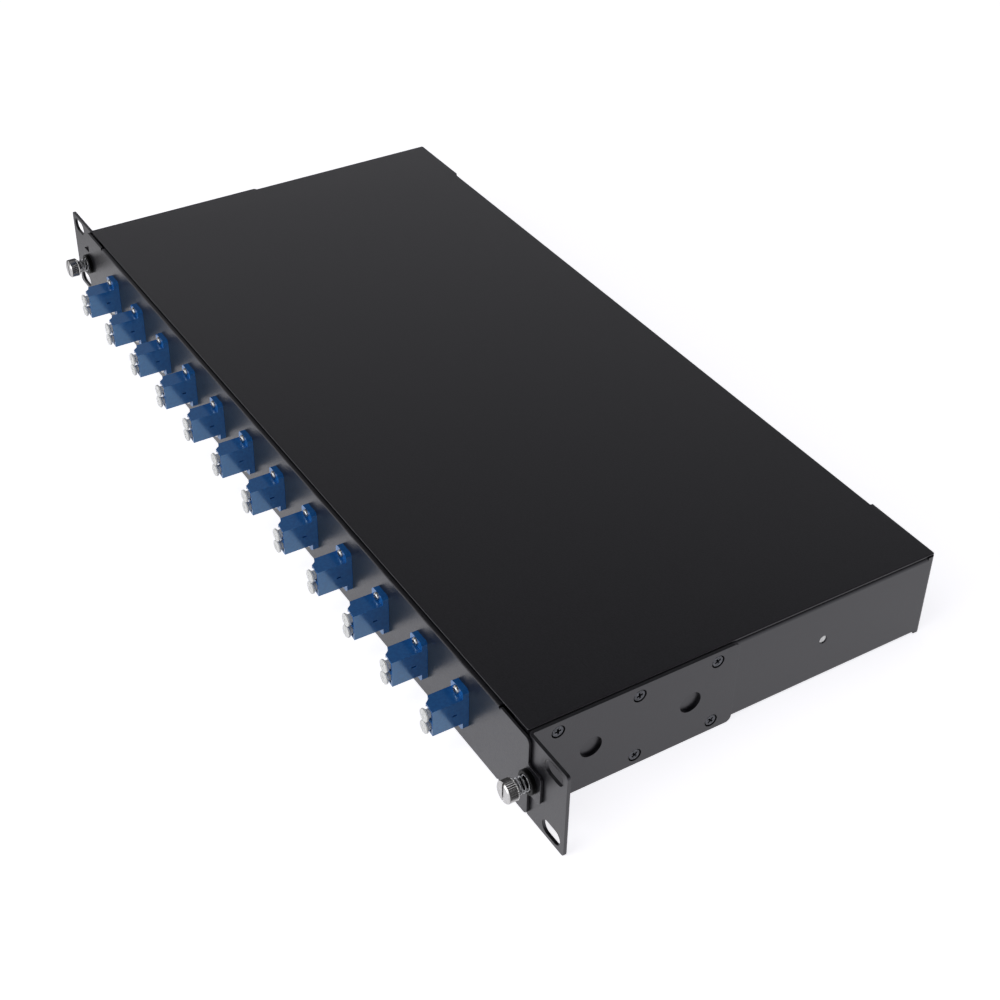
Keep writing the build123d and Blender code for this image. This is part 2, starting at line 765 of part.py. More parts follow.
write("chassis", chassis())
write("top_cover", top_cover())
write("rear_rivets", rear_rivets())
write("cable_grommets", grommets())
write("rack_bracket_right", rack_bracket())
write("rack_bracket_left", mirrored(rack_bracket()))
write("bracket_screws", bracket_screws())
write("ear_nuts", ear_nuts())
write("runner_outer_right", runner_outer())
write("runner_outer_left", mirrored(runner_outer()))
write("runner_outer_rivets", runner_outer_rivets())
write("fascia", fascia())
write("fascia_rivets", fascia_rivets())
write("tray", tray())
write("runner_inner_right", runner_inner())
write("runner_inner_left", mirrored(runner_inner()))
write("runner_inner_rivets", runner_inner_rivets())
one_adapter = adapter()
for number, place in enumerate(adapter_places(), start=1):
    write(f"adapter_{number:02d}", Pos(place, 0, 0) * one_adapter)
    write(f"dust_caps_{number:02d}", dust_caps(place))
write("alignment_sleeves", alignment_sleeves())
write("adapter_screws", adapter_screws())
write("thumbscrew_collars", thumbscrew_collars())
write("thumbscrew_right", thumbscrew(1, 0))
write("thumbscrew_left", thumbscrew(-1, left_slot_turn))
write("thumbscrew_spring_right", thumbscrew_spring(1))
write("thumbscrew_spring_left", thumbscrew_spring(-1))
write("splice_holder_right", splice_holder())
write("splice_holder_left", mirrored(splice_holder()))
write("fibre_guides", fibre_guides())
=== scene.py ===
import bmesh
import bpy
import json
import math
from mathutils import Matrix, Vector


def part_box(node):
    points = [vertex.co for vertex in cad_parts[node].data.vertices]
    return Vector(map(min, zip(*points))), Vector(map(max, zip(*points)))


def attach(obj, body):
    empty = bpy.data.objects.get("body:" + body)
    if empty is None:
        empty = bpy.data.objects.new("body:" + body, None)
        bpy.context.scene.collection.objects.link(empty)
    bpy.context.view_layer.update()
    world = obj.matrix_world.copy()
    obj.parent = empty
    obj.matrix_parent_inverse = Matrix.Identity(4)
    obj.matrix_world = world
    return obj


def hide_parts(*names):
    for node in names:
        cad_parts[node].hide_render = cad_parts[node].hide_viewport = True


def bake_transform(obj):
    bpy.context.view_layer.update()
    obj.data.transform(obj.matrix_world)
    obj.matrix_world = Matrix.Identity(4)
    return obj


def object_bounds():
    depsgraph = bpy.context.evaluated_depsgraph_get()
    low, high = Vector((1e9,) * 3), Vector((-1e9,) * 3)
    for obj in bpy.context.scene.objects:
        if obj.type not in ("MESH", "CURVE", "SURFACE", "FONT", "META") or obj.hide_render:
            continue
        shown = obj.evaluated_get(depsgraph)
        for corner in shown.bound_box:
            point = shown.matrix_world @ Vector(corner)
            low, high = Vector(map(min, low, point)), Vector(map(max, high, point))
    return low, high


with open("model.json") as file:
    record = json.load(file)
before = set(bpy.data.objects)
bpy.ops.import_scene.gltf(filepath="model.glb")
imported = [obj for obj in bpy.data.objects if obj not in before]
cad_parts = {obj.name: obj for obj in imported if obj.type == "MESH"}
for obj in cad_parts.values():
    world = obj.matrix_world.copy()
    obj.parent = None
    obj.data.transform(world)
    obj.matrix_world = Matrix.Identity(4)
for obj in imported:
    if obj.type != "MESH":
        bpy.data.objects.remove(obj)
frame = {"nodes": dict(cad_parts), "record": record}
cadBox = [list(corner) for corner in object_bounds()]
mm = 0.001  # pieces are modelled in millimetres and finished in metres
slotOf = {row["node"]: row["material_slot"] for row in frame["record"]["subparts"]}
bodies = frame["record"]["behaviour"]["bodies"]
bodyOf = {node: body for body, nodes in bodies.items() for node in nodes}
mergeGap = 1e-4  # millimetres; points closer than this are one
past = 1.0  # millimetres; how far a cutter stands out of what it cuts
print("frame loaded,", len(frame["nodes"]), "nodes")


# Colours and materials

def fromHex(code):
    # an sRGB hex colour as the linear colour that Blender works in
    channels = [int(code[i:i + 2], 16) / 255 for i in (1, 3, 5)]
    linear = [c / 12.92 if c <= 0.04045 else ((c + 0.055) / 1.055) ** 2.4 for c in channels]
    return (*linear, 1.0)


def addNode(tree, kind, settings=None, inputs=None):
    # an input may be a value or the socket that feeds it
    node = tree.nodes.new(kind)
    for name, value in (settings or {}).items():
        setattr(node, name, value)
    for name, value in (inputs or {}).items():
        if isinstance(value, bpy.types.NodeSocket):
            tree.links.new(value, node.inputs[name])
        else:
            node.inputs[name].default_value = value
    return node


def newMaterial(name):
    material = bpy.data.materials.new(name)
    material.use_nodes = True
    tree = material.node_tree
    tree.nodes.clear()
    shader = addNode(tree, "ShaderNodeBsdfPrincipled")
    addNode(tree, "ShaderNodeOutputMaterial", inputs={"Surface": shader.outputs["BSDF"]})
    place = addNode(tree, "ShaderNodeTexCoord").outputs["Object"]
    return material, tree, shader, place


# the cloudy pattern in every finish: where it is dark and light, and the range that its roughness follows
cloud = {"detail": 2.0, "rough": 0.5, "darkAt": 0.35, "lightAt": 0.65, "roughFrom": 0.3, "roughTo": 0.7,
         "bumpStrength": 0.4}


def mottle(tree, place, grainMm, dark, light):
    # cloudy colour between two shades, with spots of the given size
    noise = addNode(tree, "ShaderNodeTexNoise", inputs={
        "Vector": place, "Scale": 1 / (grainMm * mm), "Detail": cloud["detail"],
        "Roughness": cloud["rough"]})
    ramp = addNode(tree, "ShaderNodeValToRGB", inputs={"Fac": noise.outputs["Fac"]})
    stops = ramp.color_ramp.elements
    stops[0].position, stops[1].position = cloud["darkAt"], cloud["lightAt"]
    stops[0].color, stops[1].color = fromHex(dark), fromHex(light)
    return ramp.outputs["Color"], noise.outputs["Fac"]


def roughFrom(tree, factor, rough):
    # roughness between two values, following the pattern
    spread = addNode(tree, "ShaderNodeMapRange", inputs={
        "Value": factor, "From Min": cloud["roughFrom"], "From Max": cloud["roughTo"],
        "To Min": rough[0], "To Max": rough[1]})
    return spread.outputs["Result"]


def bumpFrom(tree, height, depthMm, strength):
    inputs = {"Height": height, "Distance": depthMm * mm, "Strength": strength}
    return addNode(tree, "ShaderNodeBump", inputs=inputs).outputs["Normal"]


def powderCoatedSteel():
    # black polyester powder coat, sprayed and baked: nearly black, a soft sheen, and a fine orange peel
    look = {"dark": "#0d0d10", "light": "#19191d", "grainMm": 0.8, "rough": (0.28, 0.38), "ior": 1.58,
            "sheen": (0.95, 0.94, 1.0, 1.0), "peelMm": 0.7, "peelDetail": 3.0, "peelRough": 0.6,
            "peelDepthMm": 0.035, "peelStrength": 1.0}
    material, tree, shader, place = newMaterial("powderCoatedSteel")
    colour, grain = mottle(tree, place, look["grainMm"], look["dark"], look["light"])
    peel = addNode(tree, "ShaderNodeTexNoise", inputs={
        "Vector": place, "Scale": 1 / (look["peelMm"] * mm), "Detail": look["peelDetail"],
        "Roughness": look["peelRough"]}).outputs["Fac"]
    normal = bumpFrom(tree, peel, look["peelDepthMm"], look["peelStrength"])
    tree.links.new(colour, shader.inputs["Base Color"])
    tree.links.new(roughFrom(tree, grain, look["rough"]), shader.inputs["Roughness"])
    tree.links.new(normal, shader.inputs["Normal"])
    shader.inputs["IOR"].default_value = look["ior"]
    shader.inputs["Specular Tint"].default_value = look["sheen"]
    return material


def clouded(name, dark, light, grainMm, rough, bumpMm):
    # what the plainer finishes share: a cloudy colour, and roughness and bump that follow it
    material, tree, shader, place = newMaterial(name)
    colour, grain = mottle(tree, place, grainMm, dark, light)
    tree.links.new(colour, shader.inputs["Base Color"])
    tree.links.new(roughFrom(tree, grain, rough), shader.inputs["Roughness"])
    tree.links.new(bumpFrom(tree, grain, bumpMm, cloud["bumpStrength"]), shader.inputs["Normal"])
    return material, shader


def metalFinish(name, dark, light, grainMm, rough, bumpMm=0.004):
    material, shader = clouded(name, dark, light, grainMm, rough, bumpMm)
    shader.inputs["Metallic"].default_value = 1.0
    return material


def plasticFinish(name, dark, light, grainMm, rough, ior, bumpMm=0.003, glow=0.0, glowMm=1.2, tint=None):
    # glow is the share of light that goes glowMm deep into the plastic; tint colours its gloss
    material, shader = clouded(name, dark, light, grainMm, rough, bumpMm)
    shader.inputs["IOR"].default_value = ior
    if glow:
        shader.inputs["Subsurface Weight"].default_value = glow
        shader.inputs["Subsurface Radius"].default_value = (1.0, 1.0, 1.0)
        shader.inputs["Subsurface Scale"].default_value = glowMm * mm
    if tint:
        shader.inputs["Specular Tint"].default_value = fromHex(tint)
    return material


finishes = {
    "powder_coat": powderCoatedSteel(),
    # aluminium rivet heads in black, which gives a dark, satin metal
    "dark_rivet": metalFinish("blackenedAluminium", "#2b2b2d", "#3b3b3d", grainMm=1.2, rough=(0.38, 0.52)),
    # moulded rubber, dull and slightly dusty
    "rubber": plasticFinish("mouldedRubber", "#111111", "#1a1a1a", grainMm=1.5, rough=(0.62, 0.8), ior=1.5,
                            bumpMm=0.01),
    # black zinc plate on screws, a dark metal with a satin glint
    "black_screw": metalFinish("blackZincSteel", "#3b3c3f", "#5c5d62", grainMm=0.8, rough=(0.22, 0.34)),
    # zinc plate, pale and a little cloudy
    "zinc": metalFinish("zincPlatedSteel", "#a7a9ab", "#c3c4c5", grainMm=2.5, rough=(0.3, 0.42)),
    # bright zinc plate on small screws and rivets, with sharper glints
    "bright_steel": metalFinish("brightZincSteel", "#acacac", "#c4c4c3", grainMm=1.0, rough=(0.18, 0.28)),
    # drawn wire, smooth along its length
    "spring_steel": metalFinish("drawnSpringWire", "#7b7c7e", "#949597", grainMm=0.5, rough=(0.14, 0.22)),
    # nickel plate on turned brass, bright and a touch warm
    "nickel": metalFinish("nickelPlatedBrass", "#b3b2b1", "#c4c3c2", grainMm=1.6, rough=(0.2, 0.28),
                          bumpMm=0.0015),
    # turned black acetal, matt, with hardly any shine
    "black_collar": plasticFinish("blackAcetal", "#050505", "#0a0a0b", grainMm=0.8, rough=(0.42, 0.55),
                                  ior=1.36, tint="#6a6a6a"),
    # injection moulded PBT, glossy, with a faint flow pattern; its gloss carries some of its colour
    "adapter_blue": plasticFinish("mouldedBluePlastic", "#1a599e", "#1f64aa", grainMm=1.4,
                                  rough=(0.1, 0.16), ior=2.15, bumpMm=0.0015, tint="#b4dcf4"),
    # soft polythene, which lets a little light through its thin edges
    "cap_white": plasticFinish("softWhitePolythene", "#dddedd", "#e7e8e7", grainMm=1.2, rough=(0.3, 0.42),
                               ior=1.51, bumpMm=0.004, glow=0.25),
    # ground zirconia, hard, white and very smooth
    "ceramic": plasticFinish("zirconiaCeramic", "#e2e1da", "#efeee8", grainMm=1.0, rough=(0.12, 0.2),
                             ior=2.1),
    # undyed moulded plastic, milky and half matt
    "tray_plastic": plasticFinish("mouldedNaturalPlastic", "#c9c9c3", "#d8d8d2", grainMm=1.6,
                                  rough=(0.32, 0.44), ior=1.5),
}
for name, node in frame["nodes"].items():
    node.data.materials.clear()
    node.data.materials.append(finishes[slotOf[name]])
print("materials made,", len(finishes))


# Helpers for shaping

def nodeBox(name):
    # the low and high corners of a CAD node, in millimetres
    low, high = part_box(name)
    return low / mm, high / mm


def middleOf(name):
    low, high = nodeBox(name)
    return (low + high) / 2


def roundLoop(bm, centre, width, height, radius, steps=6):
    # a circle pulled apart into a slot or a rounded rectangle
    halfStep = math.pi / (4 * steps)
    ring = bmesh.ops.create_circle(bm, segments=4 * steps, radius=radius / math.cos(halfStep),
                                   matrix=Matrix.Rotation(halfStep, 4, "Z"))["verts"]
    for v in ring:
        pull = (math.copysign(width / 2 - radius, v.co.x), math.copysign(height / 2 - radius, v.co.y))
        v.co.x += pull[0] + centre[0]
        v.co.y += pull[1] + centre[1]


def cornerLoop(bm, corners, steps=5):
    # an outline of (x, y, radius) corners
    verts = [bm.verts.new((x, y, 0)) for x, y, _ in corners]
    bm.faces.new(verts)
    for radius in sorted({r for _, _, r in corners if r > 0}):
        chosen = [v for v, corner in zip(verts, corners) if corner[2] == radius]
        bmesh.ops.bevel(bm, geom=chosen, offset=radius, offset_type="OFFSET", affect="VERTICES",
                        segments=steps, profile=0.5, material=-1)
    bmesh.ops.delete(bm, geom=bm.faces[:], context="FACES_ONLY")


def roundHole(bm, x, y, radius, steps=6):
    roundLoop(bm, (x, y), 2 * radius, 2 * radius, radius, steps)


def softenEdges(bm, width, angle=35, edges=None):
    # rounds the edges that turn by more than the angle
    sharpest = math.radians(angle)
    chosen = [e for e in (edges or bm.edges) if e.is_manifold and e.calc_face_angle() > sharpest]
    bmesh.ops.bevel(bm, geom=chosen, offset=width, offset_type="OFFSET", affect="EDGES", segments=2,
                    profile=0.5, material=-1, clamp_overlap=True)


def faceOut(bm):
    # recalculating makes the faces agree, and the volume tells whether they all point out
    bmesh.ops.recalc_face_normals(bm, faces=bm.faces[:])
    if bm.calc_volume(signed=True) < 0:
        bmesh.ops.reverse_faces(bm, faces=bm.faces[:])


def raised(bm, faces, height):
    # pulls flat faces up into a solid
    grown = bmesh.ops.extrude_face_region(bm, geom=faces)["geom"]
    tops = [g for g in grown if isinstance(g, bmesh.types.BMVert)]
    bmesh.ops.translate(bm, vec=(0, 0, height), verts=tops)
    faceOut(bm)


def thicken(bm, depth, rim, rimTurn=1.0, flatShare=0.9):
    # fills the loops, gives the sheet its thickness and rounds its rim, where a flat side turns by
    # more than rimTurn radians; a side is flat where its normal's z is over flatShare
    filled = bmesh.ops.triangle_fill(bm, use_beauty=True, use_dissolve=False, edges=bm.edges[:])["geom"]
    raised(bm, [g for g in filled if isinstance(g, bmesh.types.BMFace)], depth)
    isRim = [e for e in bm.edges if e.is_manifold and e.calc_face_angle() > rimTurn
             and any(abs(f.normal.z) > flatShare for f in e.link_faces)]
    bmesh.ops.bevel(bm, geom=isRim, offset=rim, offset_type="OFFSET", affect="EDGES", segments=2,
                    profile=0.5, material=-1, clamp_overlap=False)


def legStarts(path, bend):
    # where each leg of a folded sheet would start, measured along its outer face
    starts, along = [], 0.0
    for first, second in zip(path, path[1:]):
        starts.append(along)
        along += (Vector(second) - Vector(first)).length - 2 * bend + bend * math.pi / 2
    return starts


def foldSheet(bm, path, bend, axes, flatEnds=None, steps=6, cutGap=1e-5, legGap=1e-6):
    # bends a flat sheet to the right along its path; x runs along the path and z into the sheet;
    # flatEnds is (leg, reach): what lies past that reach on either side stays in that leg's plane
    starts = legStarts(path, bend)
    ways = [(Vector(b) - Vector(a)).normalized() for a, b in zip(path, path[1:])]
    arc = bend * math.pi / 2
    for start in starts[1:]:
        for n in range(steps + 1):
            cut = start + bend - arc + n * arc / steps
            bmesh.ops.bisect_plane(bm, geom=bm.verts[:] + bm.edges[:] + bm.faces[:], dist=cutGap,
                                   plane_co=(cut, 0, 0), plane_no=(1, 0, 0))
    for v in bm.verts:
        along, across, depth = v.co
        leg = max(n for n in range(len(starts)) if n == 0 or along >= starts[n] + bend - arc - legGap)
        if flatEnds and abs(across) > flatEnds[1]:
            leg = flatEnds[0]
            into = arc
        else:
            into = along - (starts[leg] + bend - arc)
        way = ways[leg]
        inward = Vector((way.y, -way.x))
        if leg and into < arc:
            before = ways[leg - 1]
            within = Vector((before.y, -before.x))
            centre = Vector(path[leg]) - before * bend + within * bend
            angle = into / bend
            spot = centre + (bend - depth) * (before * math.sin(angle) - within * math.cos(angle))
        else:
            spot = Vector(path[leg]) + way * (along - starts[leg]) + inward * depth
        for axis, value in zip(axes, (spot.x, spot.y, across)):
            setattr(v.co, axis, value)


def turned(profile, steps, closed=False):
    # a profile of (radius, height) points turned about the local Z axis
    bm = bmesh.new()
    verts = [bm.verts.new((radius, 0, height)) for radius, height in profile]
    edges = [bm.edges.new(pair) for pair in zip(verts, verts[1:])]
    if closed:
        edges.append(bm.edges.new((verts[-1], verts[0])))
    bmesh.ops.spin(bm, geom=verts + edges, cent=(0, 0, 0), axis=(0, 0, 1), angle=2 * math.pi,
                   steps=steps, use_merge=True)
    bmesh.ops.remove_doubles(bm, verts=bm.verts[:], dist=mergeGap)
    faceOut(bm)
    return bm


def roundedBlock(bm, low, high, rim=0.0):
    size = Vector(high) - Vector(low)
    middle = (Vector(high) + Vector(low)) / 2
    spread = Matrix.Translation(middle) @ Matrix.Diagonal((*size, 1))
    made = bmesh.ops.create_cube(bm, size=1, matrix=spread)
    if rim:
        softenEdges(bm, rim, edges=list({e for v in made["verts"] for e in v.link_edges}))


def asMesh(bm, name="part"):
    mesh = bpy.data.meshes.new(name)
    bm.to_mesh(mesh)
    bm.free()
    return mesh


def combined(base, tool, how="DIFFERENCE"):
    # one bmesh cut from or joined with another
    holder = bpy.data.objects.new("base", asMesh(base))
    cutter = bpy.data.objects.new("tool", asMesh(tool))
    for part in (holder, cutter):
        bpy.context.scene.collection.objects.link(part)
    modifier = holder.modifiers.new("shape", "BOOLEAN")
    modifier.operation = how
    modifier.object = cutter
    modifier.solver = "EXACT"
    modifier.use_self = True
    bpy.context.view_layer.update()
    result = bpy.data.meshes.new_from_object(holder.evaluated_get(bpy.context.evaluated_depsgraph_get()))
    for part in (holder, cutter):
        bpy.data.objects.remove(part)
    bm = bmesh.new()
    bm.from_mesh(result)
    bpy.data.meshes.remove(result)
    bmesh.ops.remove_doubles(bm, verts=bm.verts[:], dist=mergeGap)
    return bm


def addCopy(bm, mesh, matrix):
    # one more copy of a mesh in the bmesh, put in its place
    start = len(bm.verts)
    bm.from_mesh(mesh)
    bm.verts.ensure_lookup_table()
    bmesh.ops.transform(bm, matrix=matrix, verts=bm.verts[start:])


facing = {
    "front": Matrix.Rotation(math.radians(90), 4, "X"),
    "rear": Matrix.Rotation(math.radians(-90), 4, "X"),
    "right": Matrix.Rotation(math.radians(90), 4, "Y"),
    "left": Matrix.Rotation(math.radians(-90), 4, "Y"),
}


def towards(side, spot, roll=0.0):
    # puts a part whose local Z points out of the surface at a spot
    return Matrix.Translation(spot) @ facing[side] @ Matrix.Rotation(math.radians(roll), 4, "Z")


def finishPiece(bm, name, node, sharp=50):
    # the bmesh becomes a piece in metres that stands for its node; edges sharper than the angle stay sharp
    bmesh.ops.scale(bm, vec=(mm, mm, mm), verts=bm.verts[:])
    mesh = asMesh(bm, name)
    mesh.materials.append(finishes[slotOf[node]])
    mesh.polygons.foreach_set("use_smooth", [True] * len(mesh.polygons))
    mesh.set_sharp_from_angle(angle=math.radians(sharp))
    piece = bpy.data.objects.new(name, mesh)
    bpy.context.scene.collection.objects.link(piece)
    weighted = piece.modifiers.new("evenShading", "WEIGHTED_NORMAL")
    weighted.keep_sharp = True
    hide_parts(node)
    return piece


def ridden(bm, name, node, sharp=50):
    # a finished piece that moves with its node's body
    piece = finishPiece(bm, name, node, sharp)
    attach(piece, bodyOf[node])


# Cover: a flat sheet, cut back in the middle of its rear edge

cover = {"cutHalf": 175.0, "cutBack": 1.2, "corner": 0.8, "stepCorner": 0.3, "rim": 0.36}
low, high = nodeBox("top_cover")
corner, stepCorner, cutHalf = cover["corner"], cover["stepCorner"], cover["cutHalf"]
cutEdge = high.y - cover["cutBack"]
bm = bmesh.new()
cornerLoop(bm, [(low.x, low.y, corner), (high.x, low.y, corner), (high.x, high.y, corner),
                (cutHalf, high.y, stepCorner), (cutHalf, cutEdge, stepCorner),
                (-cutHalf, cutEdge, stepCorner), (-cutHalf, high.y, stepCorner),
                (low.x, high.y, corner)], steps=3)
thicken(bm, high.z - low.z, cover["rim"])
bmesh.ops.translate(bm, vec=(0, 0, low.z), verts=bm.verts[:])
ridden(bm, "coverSheet", "top_cover")

# Rack brackets: a flat pattern with its holes, folded into an ear and a leg; the holes are given as radii

bracket = {"sheet": 1.5, "bend": 2.0, "corner": 1.6, "legCorner": 2.8, "rim": 0.14,
           "slotX": 232.55, "slotZ": 15.875, "slotLength": 12.0, "slotWidth": 6.8, "nutHole": 3.1,
           "accessHole": 5.0, "accessY": (26.9, 74.0),
           "screwHole": 3.0, "screwY": (11.3, 48.6, 85.9), "screwZ": 16.0}
low, high = nodeBox("rack_bracket_right")
thumbPlace = middleOf("thumbscrew_right")


def rackBracket():
    path = ((high.x, low.y), (low.x, low.y), (low.x, high.y))
    starts = legStarts(path, bracket["bend"])
    length = starts[1] + high.y - low.y
    top = high.z
    bm = bmesh.new()
    cornerLoop(bm, [(0, -top, bracket["corner"]), (length, -top, bracket["legCorner"]),
                    (length, top, bracket["legCorner"]), (0, top, bracket["corner"])])
    for z in (-bracket["slotZ"], bracket["slotZ"]):
        roundLoop(bm, (high.x - bracket["slotX"], z), bracket["slotLength"], bracket["slotWidth"],
                  bracket["slotWidth"] / 2, steps=8)
    roundHole(bm, high.x - thumbPlace.x, thumbPlace.z, bracket["nutHole"])
    for y in bracket["accessY"]:
        roundHole(bm, starts[1] + y - low.y, 0, bracket["accessHole"], steps=12)
    for y in bracket["screwY"]:
        for z in (-bracket["screwZ"], bracket["screwZ"]):
            roundHole(bm, starts[1] + y - low.y, z, bracket["screwHole"], steps=8)
    thicken(bm, bracket["sheet"], bracket["rim"])
    foldSheet(bm, path, bracket["bend"], "xyz")
    return bm


for side, way in (("right", 1), ("left", -1)):
    bm = rackBracket()
    bmesh.ops.scale(bm, vec=(way, 1, 1), verts=bm.verts[:])
    faceOut(bm)
    ridden(bm, f"bracket{side.capitalize()}", f"rack_bracket_{side}", sharp=40)
print("cover and brackets made")


# Screws with a cross recess, drawn pointing up with the top of the head at zero

def crossRecess(span, width, depth, narrow=0.55):
    # two crossed bars that narrow downwards
    bm = bmesh.new()
    for turn in (0, 90):
        bar = bmesh.ops.create_cube(bm, size=1, matrix=Matrix.Rotation(math.radians(turn), 4, "Z")
                                    @ Matrix.Diagonal((span, width, 2 * depth, 1)))["verts"]
        bottom = [v for v in bar if v.co.z < 0]
        bmesh.ops.scale(bm, vec=(narrow, narrow, 1), verts=bottom)
    return bm


def crossScrew(profile, recess):
    bm = combined(turned(profile, steps=40), crossRecess(*recess))
    faceOut(bm)
    return asMesh(bm)


# a recess is its span, width and depth; rolls are the angles at which the screws came to stop
sideScrew = {"head": 2.55, "edgeIn": 0.15, "edgeDown": 0.12, "lip": 0.25, "cone": 1.4, "shank": 1.5,
             "length": 4.8, "sink": 0.28, "recess": (3.8, 1.1, 1.3), "rolls": (24, 8, 38, 12, 47, 30)}
head, shank, length = sideScrew["head"], sideScrew["shank"], sideScrew["length"]
countersunk = crossScrew([(0, 0), (head - sideScrew["edgeIn"], 0), (head, -sideScrew["edgeDown"]),
                          (head, -sideScrew["lip"]), (shank, -sideScrew["cone"]),
                          (shank, -length), (0, -length)], sideScrew["recess"])
low, high = nodeBox("bracket_screws")
bm = bmesh.new()
for column, y in enumerate(bracket["screwY"]):
    for row, z in enumerate((-bracket["screwZ"], bracket["screwZ"])):
        roll = sideScrew["rolls"][2 * column + row]
        addCopy(bm, countersunk, towards("right", (high.x - sideScrew["sink"], y, z), roll))
        addCopy(bm, countersunk, towards("left", (low.x + sideScrew["sink"], y, z), 90 - roll))
ridden(bm, "bracketScrews", "bracket_screws", sharp=35)

adapterNames = sorted(name for name in frame["nodes"]
                      if name.startswith("adapter_") and name[-2:].isdigit())
# the dome gives shares of the head's radius and how far below its top they lie
panScrew = {"head": 1.85, "height": 1.2, "shank": 0.95, "length": 5.4, "recess": (2.3, 0.6, 0.9),
            "dome": ((0, 0), (0.55, -0.04), (0.8, -0.18), (0.95, -0.5), (1, -0.8)), "rowZ": 8.4,
            "rolls": (37, 53)}
head, shank, foot = panScrew["head"], panScrew["shank"], -panScrew["height"]
pan = [(share * head, level) for share, level in panScrew["dome"]]
pan += [(head, foot), (shank, foot), (shank, foot - panScrew["length"]), (0, foot - panScrew["length"])]
panHead = crossScrew(pan, panScrew["recess"])
low, high = nodeBox("adapter_screws")
bm = bmesh.new()
for n, name in enumerate(adapterNames):
    place = middleOf(name)
    for row, side in enumerate((-1, 1)):
        roll = (panScrew["rolls"][0] * n + panScrew["rolls"][1] * row) % 90
        addCopy(bm, panHead, towards("front", (place.x, low.y, place.z + side * panScrew["rowZ"]), roll))
ridden(bm, "flangeScrews", "adapter_screws", sharp=35)
print("screws made")

# Drawer front: plate with tabs, top and foot returned behind it

front = {"sheet": 1.2, "bend": 0.8, "rim": 0.16, "returnHalf": 196.5, "returnTop": 9.0, "foot": 12.0,
         "relief": 1.2, "reliefPast": 0.4, "reliefCorner": 0.3, "plateHalf": 217.8, "plateCorner": 2.4,
         "tabHalf": 7.2, "tabCorner": 2.1, "innerCorner": 1.2, "cutWidth": 9.5, "cutHeight": 13.0,
         "cutCorner": 0.4, "collarHole": 3.2, "plateLeg": 1, "plateReach": 196.51}
low, high = nodeBox("fascia")
panelZ = thumbPlace.z
path = ((low.y + front["foot"], low.z), (low.y, low.z),
        (low.y, high.z), (low.y + front["returnTop"], high.z))
starts = legStarts(path, front["bend"])


def frontAt(z):
    # where a height on the plate lies along the flat pattern
    return starts[1] + z - low.z


lowIn = frontAt(low.z) + front["bend"] + front["reliefPast"]
highIn = frontAt(high.z) - front["bend"] - front["reliefPast"]
lowEdge, highEdge = frontAt(low.z), frontAt(high.z)
lowTab, highTab = frontAt(panelZ - front["tabHalf"]), frontAt(panelZ + front["tabHalf"])
returnEdge, plateEdge = front["returnHalf"], front["plateHalf"]
reliefEdge = returnEdge + front["relief"]
small, plateCorner, innerCorner = front["reliefCorner"], front["plateCorner"], front["innerCorner"]
# one half of the flat pattern from foot to top: (place along it, half width, corner radius)
outer = [(0, returnEdge, small), (lowIn, returnEdge, small),
         (lowIn, reliefEdge, small), (lowEdge, reliefEdge, small),
         (lowEdge, plateEdge, plateCorner), (lowTab, plateEdge, innerCorner),
         (lowTab, high.x, front["tabCorner"]), (highTab, high.x, front["tabCorner"]),
         (highTab, plateEdge, innerCorner), (highEdge, plateEdge, plateCorner),
         (highEdge, reliefEdge, small), (highIn, reliefEdge, small),
         (highIn, returnEdge, small), (starts[2] + front["returnTop"], returnEdge, small)]
bm = bmesh.new()
cornerLoop(bm, outer + [(along, -half, radius) for along, half, radius in reversed(outer)])
for name in adapterNames:
    roundLoop(bm, (frontAt(panelZ), middleOf(name).x), front["cutHeight"], front["cutWidth"],
              front["cutCorner"], steps=2)
for side in (-1, 1):
    roundHole(bm, frontAt(panelZ), side * thumbPlace.x, front["collarHole"])
thicken(bm, front["sheet"], front["rim"])
foldSheet(bm, path, front["bend"], "yzx", flatEnds=(front["plateLeg"], front["plateReach"]))
faceOut(bm)
ridden(bm, "drawerFront", "fascia", sharp=40)
print("drawer front made")

# Duplex adapters: one housing, shaped once and set twelve times

# noseSteps are (x, how far the nose is set back there); the slit is from y, to y, from z, to z
adapter = {"noseSteps": ((-4.65, 3.1), (-2.75, 2.4), (-1.2, 0.35), (4.65, 0.0)), "height": 12.8,
           "rim": 0.22, "flangeHeight": 20.6, "flangeFront": -5.6, "flangeRear": -2.9, "flangeCorner": 1.2,
           "portX": 1.25, "portZ": 3.125, "portSize": 4.8, "channelX": -3.75, "channelWidth": 3.2,
           "dividerHalf": 0.8, "boreHalf": 1.25, "boreReach": 1.5,
           "slit": (-10.3, -8.3, -0.65, 0.05), "slitDepth": 0.8}


